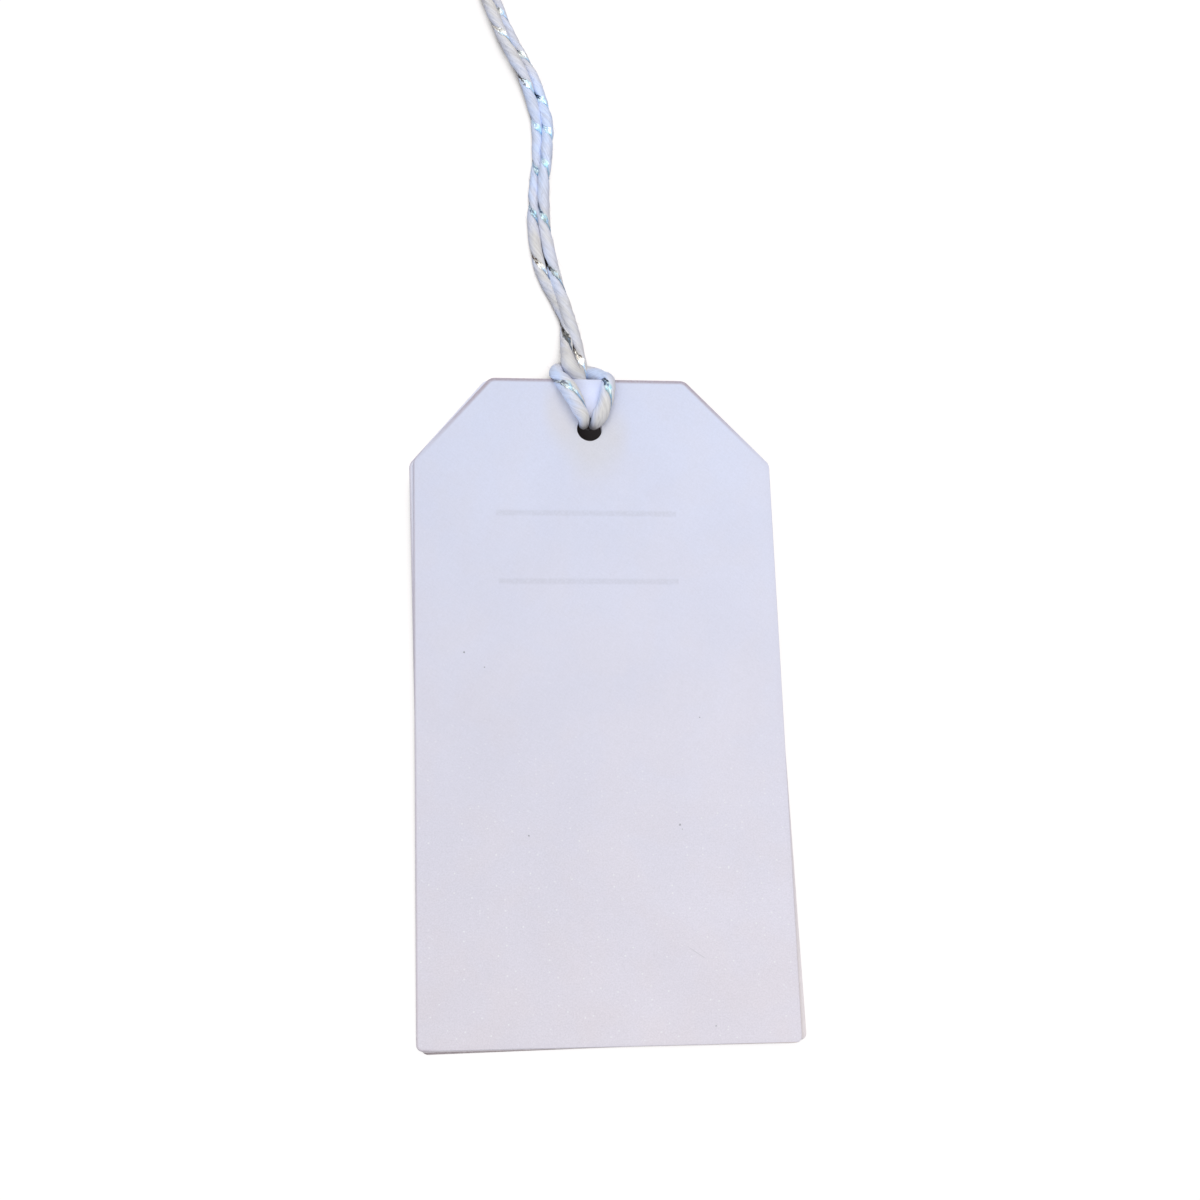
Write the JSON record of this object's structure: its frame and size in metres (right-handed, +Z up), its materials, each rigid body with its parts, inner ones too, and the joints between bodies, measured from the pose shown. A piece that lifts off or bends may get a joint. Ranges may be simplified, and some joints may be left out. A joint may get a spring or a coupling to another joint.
{
  "type": "gift tag",
  "caption": "Portrait card gift tag with cut top corners, a glued backing sheet, and a tinselled white cord hitched through a punched hole and knotted into a hanging loop.",
  "frame": {"origin": "middle of the card's footprint, on the surface that the tag lies on", "axes": "+X across the tag to the reader's right, +Y from the tag's foot towards the cord, +Z up out of the printed face"},
  "size_m": [0.0512, 0.1731, 0.006],
  "materials": {
    "front_card": "matte uncoated white card with a cool cast and fine fibre grain, two pale grey printed rules",
    "backing_card": "matte uncoated off-white card, plain",
    "adhesive": "thin translucent adhesive film",
    "cord": "soft white twisted yarn laid up with a metallic tinsel strip"
  },
  "bodies": {
    "tag": {"front_card": "front_card", "backing_card": "backing_card", "adhesive_film": "adhesive", "cord_hitch": "cord"},
    "cord_loop": {"cord_strand_left": "cord", "cord_strand_right": "cord", "end_knot": "cord", "cord_tail_left": "cord", "cord_tail_right": "cord"}
  },
  "joints": [
    {"name": "cord_swing", "type": "hinge", "parent": "tag", "child": "cord_loop", "pos_m": [-0.0014, 0.0503, 0.0023], "axis": [1, 0, 0], "range_deg": [-90, 90]}
  ]
}
